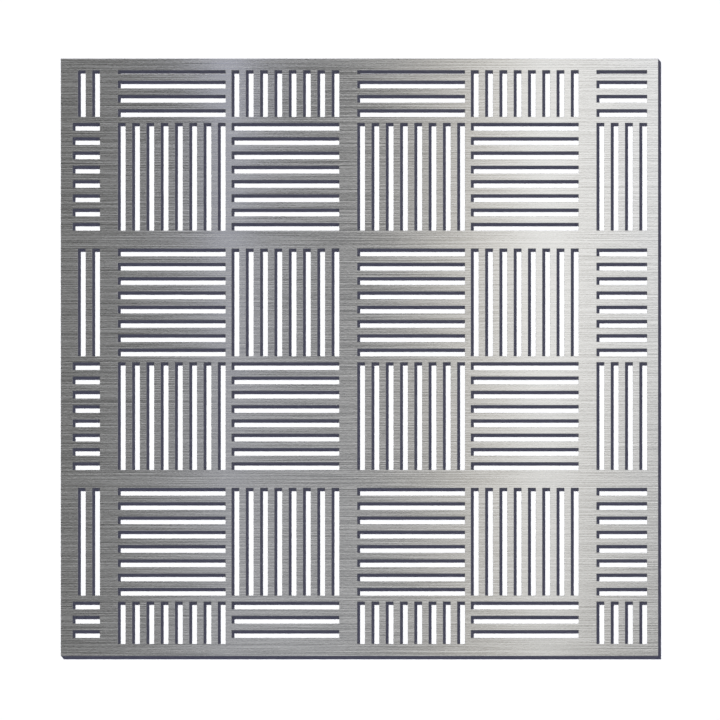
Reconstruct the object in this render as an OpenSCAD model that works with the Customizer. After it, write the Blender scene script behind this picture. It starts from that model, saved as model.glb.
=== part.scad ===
// Decorative metal sheet, cut right through with narrow slots in a basket weave.
// Blocks of parallel slots stand square to their neighbours. Four blocks make
// a tile, plain bands part the tiles, and the border trims the outer slots.
// The sheet lies flat: X runs across the weave, Y runs up it and Z goes through
// the metal. The origin is under the middle of the sheet, on its back face.

/* [Sheet] */
// Width of the sheet, along X
sheet_w = 600; // [300:1:1200]
// Length of the sheet, along Y
sheet_l = 600; // [300:1:1200]
// Thickness of the metal
sheet_t = 3; // [1:0.5:6]

/* [Plain border] */
// Uncut metal along the left edge
border_left = 11.8; // [5:0.1:40]
// Uncut metal along the right edge
border_right = 11.1; // [5:0.1:40]
// Uncut metal along the bottom edge
border_bottom = 12; // [5:0.1:40]
// Uncut metal along the top edge
border_top = 11.7; // [5:0.1:40]

/* [Slots] */
// Width of one slot
slot_w = 7.75; // [4:0.05:12]
// Bar of metal between two slots of a block
bar_w = 6.6; // [3:0.05:12]
// Slots side by side in a block
slot_count = 8; // [3:1:12]
// Narrowest opening still cut where the border trims a slot
least_cut = 3; // [1:0.5:4]

/* [Weave] */
// Metal between the blocks of a tile
block_gap = 6; // [3:0.5:15]
// Plain band between two tiles
band_w = 18; // [6:0.5:40]
// From the left edge of the sheet to its first whole tile
tile_x = 57.3; // [0:0.1:240]
// From the bottom edge of the sheet to its first whole tile
tile_y = 186.8; // [0:0.1:240]

/* [Hidden] */

steel_colour = [0.66, 0.66, 0.65];

// A block is square, so its slots are as long as the block is wide.
slot_pitch = slot_w + bar_w;
block_w = slot_count * slot_w + (slot_count - 1) * bar_w;
block_pitch = block_w + block_gap;
tile_pitch = 2 * block_w + block_gap + band_w;

// Slots are laid out from the bottom left corner of the sheet.
sheet_size = [sheet_w, sheet_l];
first_tile = [tile_x, tile_y];
field_low = [border_left, border_bottom];
field_high = sheet_size - [border_right, border_top];

// Tiles to the left of and below the first whole one, and those past it.
function tiles_before(axis) = ceil(first_tile[axis] / tile_pitch);
function tiles_after(axis) = floor((sheet_size[axis] - first_tile[axis]) / tile_pitch);
function tile_range(axis) = [-tiles_before(axis) : tiles_after(axis)];

// The corner of a slot, moved in to the border where the slot reaches past it.
function trim(corner) = [
    for (axis = [0, 1]) min(max(corner[axis], field_low[axis]), field_high[axis])
];

// One slot, cut only as far as the border leaves it wide enough.
module slot(low, size) {
    trimmed_low = trim(low);
    trimmed_size = trim(low + size) - trimmed_low;
    if (min(trimmed_size) >= least_cut)
        translate(trimmed_low) square(trimmed_size);
}

// A square block of parallel slots, upright along Y or level along X.
module block(low, upright) {
    step = upright ? [slot_pitch, 0] : [0, slot_pitch];
    size = upright ? [slot_w, block_w] : [block_w, slot_w];
    for (k = [0 : slot_count - 1])
        slot(low + k * step, size);
}

// Two upright blocks and two level ones, corner to corner.
module tile(low) {
    for (column = [0, 1], row = [0, 1])
        block(low + block_pitch * [column, row], upright = column == row);
}

module basket_weave() {
    for (i = tile_range(0), j = tile_range(1))
        tile(first_tile + tile_pitch * [i, j]);
}

module slotted_sheet() {
    color(steel_colour)
        translate([-sheet_w / 2, -sheet_l / 2, 0])
            linear_extrude(height = sheet_t)
                difference() {
                    square(sheet_size);
                    basket_weave();
                }
}

slotted_sheet();
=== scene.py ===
# Decorative sheet of brushed stainless steel, laser-cut with slots in a basket weave.
# It lies flat on a white floor, and the camera looks straight down on it.
import math

import bpy
import numpy as np
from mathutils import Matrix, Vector


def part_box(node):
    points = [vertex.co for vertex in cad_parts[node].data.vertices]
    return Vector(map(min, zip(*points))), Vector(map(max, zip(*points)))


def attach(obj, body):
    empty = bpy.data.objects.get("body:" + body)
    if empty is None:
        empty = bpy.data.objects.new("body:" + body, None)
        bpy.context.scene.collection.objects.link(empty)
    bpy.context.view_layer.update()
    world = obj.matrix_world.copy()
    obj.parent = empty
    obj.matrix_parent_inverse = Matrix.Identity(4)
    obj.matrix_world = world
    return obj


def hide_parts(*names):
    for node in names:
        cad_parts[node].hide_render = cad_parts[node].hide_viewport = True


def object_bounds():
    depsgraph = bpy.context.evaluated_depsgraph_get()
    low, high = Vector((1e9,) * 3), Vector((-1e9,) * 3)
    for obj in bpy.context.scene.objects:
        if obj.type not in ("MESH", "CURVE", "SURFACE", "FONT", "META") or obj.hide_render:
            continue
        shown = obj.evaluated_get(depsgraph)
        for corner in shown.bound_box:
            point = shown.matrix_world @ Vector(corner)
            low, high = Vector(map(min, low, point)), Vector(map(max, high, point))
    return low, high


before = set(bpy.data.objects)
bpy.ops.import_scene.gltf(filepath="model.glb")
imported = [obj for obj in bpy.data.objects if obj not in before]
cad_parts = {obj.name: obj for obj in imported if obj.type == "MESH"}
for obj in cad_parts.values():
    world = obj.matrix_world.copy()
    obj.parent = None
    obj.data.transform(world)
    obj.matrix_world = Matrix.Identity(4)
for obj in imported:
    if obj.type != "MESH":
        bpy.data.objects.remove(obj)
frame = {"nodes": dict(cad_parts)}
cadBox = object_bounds()
mm = 0.001  # sizes below are in millimetres, Blender's are in metres
scene = bpy.context.scene
print("frame loaded:", ", ".join(frame["nodes"]))


# sRGB hex to linear: the low end is a straight line, the rest a power of 2.4
def linearColour(code):
    srgb = np.array([int(code[i:i + 2], 16) for i in (1, 3, 5)]) / 255
    linear = np.where(srgb <= 0.04045, srgb / 12.92, ((srgb + 0.055) / 1.055) ** 2.4)
    return (*linear.tolist(), 1.0)


# Adds a node, gives it its settings, then links or fills the inputs that are named.
# Math nodes call all their inputs the same, so those go by number.
def addNode(tree, kind, inputs=None, **settings):
    node = tree.nodes.new("ShaderNode" + kind)
    for name, value in settings.items():
        setattr(node, name, value)
    for socket, value in (inputs or {}).items():
        if isinstance(value, bpy.types.NodeSocket):
            tree.links.new(value, node.inputs[socket])
        else:
            node.inputs[socket].default_value = value
    return node


# Turns on the nodes of a material, lamp or world, and clears them
def emptyTree(owner):
    owner.use_nodes = True
    owner.node_tree.nodes.clear()
    return owner.node_tree


# The weave: blocks of parallel slots, four blocks to a tile, trimmed by a plain border
sheet = {
    "width": 600.0,
    "length": 600.0,
    "borderLow": (11.8, 12.0),  # uncut metal at the left and bottom
    "borderHigh": (11.1, 11.7),  # uncut metal at the right and top
    "slotWidth": 7.75,
    "barWidth": 6.6,
    "slotsPerBlock": 8,
    "leastCut": 3.0,  # the border leaves no slot narrower than this
    "blockGap": 6.0,
    "bandWidth": 18.0,
    "firstTile": (57.3, 186.8),
    "tilesAround": 3,  # enough tiles each way to run past the sheet
    "decimals": 4,  # slot edges that agree to this many are one grid line
    "edgeRound": 0.2,  # deburred edge
    "edgeSteps": 2,
    "sharpAngle": 40.0,  # only edges that turn by more than this are rounded
}


# Low and high corners of every slot. A slot's corner is the first tile's corner plus whole tile, block
# and slot pitches, and then it is clipped to the field inside the border.
def slotCorners(s):
    slotPitch = s["slotWidth"] + s["barWidth"]
    block = s["slotsPerBlock"] * slotPitch - s["barWidth"]
    blockPitch = block + s["blockGap"]
    tilePitch = block + blockPitch + s["bandWidth"]
    reach = np.arange(-s["tilesAround"], s["tilesAround"] + 1)
    inBlock = np.arange(s["slotsPerBlock"])
    i, j, column, row, k = np.meshgrid(reach, reach, [0, 1], [0, 1], inBlock, indexing="ij")
    upright = column == row
    lowX = s["firstTile"][0] + tilePitch * i + blockPitch * column + np.where(upright, slotPitch * k, 0)
    lowY = s["firstTile"][1] + tilePitch * j + blockPitch * row + np.where(upright, 0, slotPitch * k)
    highX = lowX + np.where(upright, s["slotWidth"], block)
    highY = lowY + np.where(upright, block, s["slotWidth"])
    fieldLow = np.array(s["borderLow"])
    fieldHigh = np.array((s["width"], s["length"])) - s["borderHigh"]
    low = np.clip(np.stack([lowX, lowY], -1).reshape(-1, 2), fieldLow, fieldHigh)
    high = np.clip(np.stack([highX, highY], -1).reshape(-1, 2), fieldLow, fieldHigh)
    kept = (high - low).min(1) >= s["leastCut"]
    return low[kept], high[kept]


# The sheet as a grid whose lines run along every slot edge. A cell is metal unless its middle is in a
# slot. Each metal cell has a face above and one below, and a wall stands wherever metal meets air.
def sheetSurface(s, thickness):
    low, high = slotCorners(s)
    xs = np.unique(np.concatenate([[0, s["width"]], low[:, 0], high[:, 0]]).round(s["decimals"]))
    ys = np.unique(np.concatenate([[0, s["length"]], low[:, 1], high[:, 1]]).round(s["decimals"]))
    midX = ((xs[1:] + xs[:-1]) / 2)[:, None, None]
    midY = ((ys[1:] + ys[:-1]) / 2)[None, :, None]
    inX = (midX > low[:, 0]) & (midX < high[:, 0])
    inY = (midY > low[:, 1]) & (midY < high[:, 1])
    metal = ~(inX & inY).any(-1)
    nx, ny = len(xs), len(ys)
    point = np.arange(nx * ny).reshape(nx, ny)
    above = nx * ny  # a point's number on the front is this much more than on the back

    a, b = point[:-1, :-1][metal], point[1:, :-1][metal]
    c, d = point[1:, 1:][metal], point[:-1, 1:][metal]
    front = np.stack([a, b, c, d], 1) + above
    back = np.stack([d, c, b, a], 1)

    around = np.pad(metal, 1).astype(int)
    stepX = np.diff(around[:, 1:-1], axis=0)  # +1 where metal starts going along X, -1 where it ends
    stepY = np.diff(around[1:-1, :], axis=1)
    downX, upX = point[:, :-1], point[:, 1:]  # the two ends of each grid line's stretch along Y
    downY, upY = point[:-1, :], point[1:, :]
    starts = [(upX[stepX > 0], downX[stepX > 0]), (downX[stepX < 0], upX[stepX < 0])]
    starts += [(downY[stepY > 0], upY[stepY > 0]), (upY[stepY < 0], downY[stepY < 0])]
    walls = np.concatenate([np.stack([p, q, q + above, p + above], 1) for p, q in starts])

    gridX, gridY = np.meshgrid(xs - s["width"] / 2, ys - s["length"] / 2, indexing="ij")
    flat = np.stack([gridX.ravel(), gridY.ravel(), np.zeros(nx * ny)], 1)
    points = np.concatenate([flat, flat + (0, 0, thickness)])
    faces = np.concatenate([front, back, walls])
    used, faces = np.unique(faces, return_inverse=True)  # leaves out grid points that lie in a slot
    isWall = np.arange(len(front) * 2 + len(walls)) >= len(front) * 2
    print("sheet:", len(low), "slots,", len(used), "points,", len(isWall), "faces, narrowest cell",
          round(min(np.diff(xs).min(), np.diff(ys).min()), 3), "mm")
    return points[used], faces.reshape(-1, 4), isWall


# The sheet is as thick as its CAD solid. Its walls take the second material, and a bevel rounds its edges.
def makeSheet(s):
    cadLow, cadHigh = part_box("slotted_sheet")
    points, faces, isWall = sheetSurface(s, (cadHigh.z - cadLow.z) / mm)
    mesh = bpy.data.meshes.new("brushed_sheet")
    mesh.from_pydata((points * mm).tolist(), [], faces.tolist())
    mesh.polygons.foreach_set("material_index", isWall.astype(np.int32))
    mesh.polygons.foreach_set("use_smooth", np.ones(len(faces), bool))
    brushing = mesh.uv_layers.new(name="brushing")  # u runs along the brush lines, v across them
    brushing.data.foreach_set("uv", (points[faces.ravel()][:, :2] * mm).astype(np.float32).ravel())
    mesh.update()
    piece = bpy.data.objects.new("brushed_sheet", mesh)
    scene.collection.objects.link(piece)
    bevel = piece.modifiers.new("deburred edges", "BEVEL")
    bevel.width = s["edgeRound"] * mm
    bevel.segments = s["edgeSteps"]
    bevel.limit_method = "ANGLE"
    bevel.angle_limit = math.radians(s["sharpAngle"])
    bevel.harden_normals = True
    return piece


# Stainless steel, brushed with a belt: fine straight lines along X that smear reflections across them,
# so the eye sees soft upright bands of light with light and dark threads running through them.
brushed = {
    "lightThread": "#e8e8e8",
    "darkThread": "#b0b0b0",
    "roughness": (0.19, 0.53),  # of dark and light threads
    "anisotropy": 0.8,
    "smearTurn": 0.25,  # a quarter turn, so that reflections smear across the lines
    "threadHeight": 0.7,  # a real line is about 0.1 high, drawn coarser to show
    "stepsAlong": 1000,  # along X the steps are this much smaller, too small to show
    "threadLengths": (150.0, 50.0, 3.0),
    "threadShares": (0.42, 0.33, 0.25),  # how much each length counts
    "furrow": 0.5,  # a line beside a light one is darker by this share
    "lineShift": 5.37,  # lines this far apart in the noise have nothing in common
    "lengthShift": 31.7,  # and neither have threads of different lengths
    "threadContrast": (0.12, 0.46),  # span of the noise from dark to light
    "relief": 0.001,  # depth of the lines
}


# Noise that is smooth along X and starts anew on each line across X, added up over three lengths.
# Each line has a share of the next line's noise taken off, and the sum sets colour, roughness and relief.
def brushedSteel(look):
    material = bpy.data.materials.new("Stainless steel, belt brushed")
    tree = emptyTree(material)
    place = addNode(tree, "TexCoord").outputs["Object"]
    height = look["threadHeight"] * mm
    steps = height / look["stepsAlong"], height, height
    line = addNode(tree, "VectorMath", {0: place, 1: steps}, operation="SNAP").outputs[0]
    shift = look["lineShift"]
    threads = 0.0
    for order, (length, share) in enumerate(zip(look["threadLengths"], look["threadShares"])):
        scale = 1 / (length * mm), shift / height, shift / height
        apart = order * look["lengthShift"]
        for beside, weight in ((0, share), (shift, -share * look["furrow"])):
            start = apart, beside, apart
            placed = {"Vector": line, "Location": start, "Scale": scale}
            along = addNode(tree, "Mapping", placed).outputs[0]
            noise = addNode(tree, "TexNoise", {"Vector": along, "Scale": 1.0, "Detail": 0.0}).outputs[0]
            parts = {0: noise, 1: weight, 2: threads}
            threads = addNode(tree, "Math", parts, operation="MULTIPLY_ADD").outputs[0]
    low, high = look["threadContrast"]
    shade = addNode(tree, "MapRange", {"Value": threads, "From Min": low, "From Max": high}).outputs[0]
    dark, light = linearColour(look["darkThread"]), linearColour(look["lightThread"])
    shades = {"Factor": shade, "A": dark, "B": light}
    colour = addNode(tree, "Mix", shades, data_type="RGBA").outputs["Result"]
    fine, coarse = look["roughness"]
    rough = addNode(tree, "MapRange", {"Value": shade, "To Min": fine, "To Max": coarse}).outputs[0]
    relief = addNode(tree, "Bump", {"Distance": look["relief"] * mm, "Height": threads}).outputs[0]
    tangent = addNode(tree, "Tangent", direction_type="UV_MAP", uv_map="brushing").outputs[0]
    surface = addNode(tree, "BsdfPrincipled", {
        "Base Color": colour,
        "Metallic": 1.0,
        "Roughness": rough,
        "Normal": relief,
        "Anisotropic": look["anisotropy"],
        "Anisotropic Rotation": look["smearTurn"],
        "Tangent": tangent,
    })
    addNode(tree, "OutputMaterial", {"Surface": surface.outputs[0]})
    print("material:", material.name)
    return material


# The same steel where the laser cut it: grey with a thin bluish oxide, in fine upright drag lines
cut = {
    "oxide": "#5c5d66",
    "bare": "#8a8b92",
    "roughness": 0.5,
    "dragLine": (0.5, 0.5, 8.0),  # narrow, and taller than the sheet is thick
    "dragDepth": 0.05,
    "dragStrength": 0.4,
}


# Noise drawn out along Z sets the mix of oxide and bare metal, and the relief
def laserCutSteel(look):
    material = bpy.data.materials.new("Stainless steel, laser cut")
    tree = emptyTree(material)
    place = addNode(tree, "TexCoord").outputs["Object"]
    scale = [1 / (side * mm) for side in look["dragLine"]]
    along = addNode(tree, "Mapping", {"Vector": place, "Scale": scale}).outputs[0]
    lines = addNode(tree, "TexNoise", {"Vector": along, "Scale": 1.0, "Detail": 1.0}).outputs[0]
    shades = {"Factor": lines, "A": linearColour(look["oxide"]), "B": linearColour(look["bare"])}
    colour = addNode(tree, "Mix", shades, data_type="RGBA").outputs["Result"]
    relief = addNode(tree, "Bump", {
        "Strength": look["dragStrength"],
        "Distance": look["dragDepth"] * mm,
        "Height": lines,
    }).outputs[0]
    surface = addNode(tree, "BsdfPrincipled", {
        "Base Color": colour,
        "Metallic": 1.0,
        "Roughness": look["roughness"],
        "Normal": relief,
    })
    addNode(tree, "OutputMaterial", {"Surface": surface.outputs[0]})
    print("material:", material.name)
    return material


steelSheet = makeSheet(sheet)
steelSheet.data.materials.append(brushedSteel(brushed))
steelSheet.data.materials.append(laserCutSteel(cut))
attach(steelSheet, "root")
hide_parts("slotted_sheet")

# The floor: matt white paper, white where the lamp reaches it and blue-grey in the sheet's shadow
floor = {"side": 60000.0, "colour": "#fbfbfb"}


# One square face, as high as the sheet's back
def makeFloor(look):
    half = look["side"] / 2 * mm
    corners = [(-half, -half, 0), (half, -half, 0), (half, half, 0), (-half, half, 0)]
    mesh = bpy.data.meshes.new("floor")
    mesh.from_pydata(corners, [], [(0, 1, 2, 3)])
    paper = bpy.data.materials.new("White paper, matt")
    tree = emptyTree(paper)
    surface = addNode(tree, "BsdfDiffuse", {"Color": linearColour(look["colour"])})
    addNode(tree, "OutputMaterial", {"Surface": surface.outputs[0]})
    mesh.materials.append(paper)
    plane = bpy.data.objects.new("floor", mesh)
    scene.collection.objects.link(plane)
    print("floor:", look["side"] * mm, "m across")


makeFloor(floor)

# Where the sheet lies in the picture, in pixels of a 720 x 720 image
picture = {
    "side": 720,
    "left": 60.85,
    "right": 658.06,
    "top": 58.43,
    "bottom": 656.02,
    "shadowRight": 3.14,
    "shadowDown": 3.66,
    "lens": 800.0,  # long, so that the view is nearly square on all over the sheet
}
# Millimetres to a pixel: the square sheet's side over the mean of its width and height in the picture
pixel = 2 * sheet["width"] / (picture["right"] - picture["left"] + picture["bottom"] - picture["top"])
sheetTop = cadBox[1].z


# The camera is as high as its lens needs to take in the picture's side. It stands as far off the sheet's
# middle as the sheet is off the picture's middle.
def makeCamera(view):
    data = bpy.data.cameras.new("camera")
    data.lens = view["lens"]
    height = view["side"] * pixel * mm * data.lens / data.sensor_width
    camera = bpy.data.objects.new("camera", data)
    camera.location = (
        (view["side"] - view["left"] - view["right"]) / 2 * pixel * mm,
        (view["top"] + view["bottom"] - view["side"]) / 2 * pixel * mm,
        sheetTop + height,
    )
    scene.collection.objects.link(camera)
    scene.camera = camera
    print("camera:", round(height, 3), "m above the sheet,", round(pixel, 4), "mm to a pixel")


makeCamera(picture)

# The key lamp is small and far, from the upper left, and its slope gives the shadow its width
key = {"irradiance": math.pi, "angle": 2.0}


# Light runs from a corner of the sheet's top to where the picture has that corner's shadow
def makeKey(look):
    across = picture["shadowRight"] * pixel * mm
    along = picture["shadowDown"] * pixel * mm
    down = Vector((across, -along, -sheetTop)).normalized()
    data = bpy.data.lights.new("key", "SUN")
    data.energy = look["irradiance"] / -down.z  # so that a level white surface comes out white
    data.angle = math.radians(look["angle"])
    lamp = bpy.data.objects.new("key", data)
    lamp.rotation_mode = "QUATERNION"
    lamp.rotation_quaternion = down.to_track_quat("-Z", "Y")
    lamp.visible_glossy = False  # the metal mirrors the soft boxes and the room, not this
    scene.collection.objects.link(lamp)
    print("key lamp:", round(math.degrees(math.asin(-down.z)), 1), "degrees up")


makeKey(key)

# Soft boxes that only the metal's reflections see. They lie level above the sheet, long along Y, each
# at a height of its own, because where two share a plane only one of them is seen.
softBoxes = {
    "stripBox": {"centre": (-136, 1250, 390), "size": (60, 3600), "radiance": 2.15, "colour": "#e1e5ff"},
    "sideBox": {"centre": (390, 350, 400), "size": (520, 2000), "radiance": 1.28, "colour": "#fafcff"},
    "fillBox": {"centre": (-80, -1000, 410), "size": (470, 3600), "radiance": 0.52, "colour": "#f6f8ff"},
    "warmBox": {"centre": (170, 120, 420), "size": (370, 2400), "radiance": 0.94, "colour": "#fffaf0"},
    "ridgeBox": {"centre": (190, 120, 430), "size": (80, 2000), "radiance": 0.55, "colour": "#e6f2ff"},
}


# A box is brightest in the middle and falls smoothly to nothing at the rim, both ways
def makeSoftBox(name, look):
    data = bpy.data.lights.new(name, "AREA")
    data.shape = "RECTANGLE"
    data.size, data.size_y = (side * mm for side in look["size"])
    data.energy = look["radiance"] * math.pi * data.size * data.size_y
    data.color = linearColour(look["colour"])[:3]
    tree = emptyTree(data)
    place = addNode(tree, "NewGeometry").outputs["Parametric"]
    across = addNode(tree, "SeparateXYZ", {"Vector": place})
    middle = 0.5  # places run from 0 to 1 across the box
    bright = 1.0
    for way in ("X", "Y"):
        folded = {0: across.outputs[way], 1: middle}
        fromRim = addNode(tree, "Math", folded, operation="PINGPONG").outputs[0]
        reach = {"Value": fromRim, "From Max": middle}
        fall = addNode(tree, "MapRange", reach, interpolation_type="SMOOTHSTEP").outputs[0]
        bright = addNode(tree, "Math", {0: fall, 1: bright}, operation="MULTIPLY").outputs[0]
    glow = addNode(tree, "Emission", {"Strength": bright}).outputs[0]
    addNode(tree, "OutputLight", {"Surface": glow})
    lamp = bpy.data.objects.new(name, data)
    lamp.location = [part * mm for part in look["centre"]]
    lamp.visible_camera = False
    lamp.visible_diffuse = False
    scene.collection.objects.link(lamp)
    print("soft box:", name)


for name, look in softBoxes.items():
    makeSoftBox(name, look)

# The room: white to the camera, dim and bluish as fill. The metal mirrors grey walls at the horizon,
# a bright band above them and a dim ceiling.
room = {
    "background": "#ffffff",
    "fill": "#444559",
    "horizon": "#b4b4b4",
    "band": "#ffffff",
    "bandGain": 1.1,
    "ceiling": "#80807f",
    "rise": (0.0, 0.5),  # heights on a sphere of radius 1, from the horizon to the band
    "fall": (0.3, 1.0),  # and from the band to the ceiling
}


# What the metal mirrors goes smoothly with height from horizon to band to ceiling
def makeRoom(look):
    world = bpy.data.worlds.new("room")
    scene.world = world
    tree = emptyTree(world)
    ray = addNode(tree, "LightPath")
    place = addNode(tree, "TexCoord").outputs["Generated"]
    up = addNode(tree, "SeparateXYZ", {"Vector": place}).outputs["Z"]
    band = [look["bandGain"] * part for part in linearColour(look["band"])]
    ceiling = linearColour(look["ceiling"])
    mirrored = linearColour(look["horizon"])
    for (low, high), colour in ((look["rise"], band), (look["fall"], ceiling)):
        reach = {"Value": up, "From Min": low, "From Max": high}
        share = addNode(tree, "MapRange", reach, interpolation_type="SMOOTHSTEP").outputs[0]
        shades = {"Factor": share, "A": mirrored, "B": colour}
        mirrored = addNode(tree, "Mix", shades, data_type="RGBA").outputs["Result"]
    lit = {"Factor": ray.outputs["Is Glossy Ray"], "A": linearColour(look["fill"]), "B": mirrored}
    lighting = addNode(tree, "Mix", lit, data_type="RGBA").outputs["Result"]
    seen = {"Factor": ray.outputs["Is Camera Ray"], "A": lighting, "B": linearColour(look["background"])}
    shown = addNode(tree, "Mix", seen, data_type="RGBA").outputs["Result"]
    light = addNode(tree, "Background", {"Color": shown})
    addNode(tree, "OutputWorld", {"Surface": light.outputs[0]})
    print("room lit")


makeRoom(room)

scene.view_settings.view_transform = "Standard"
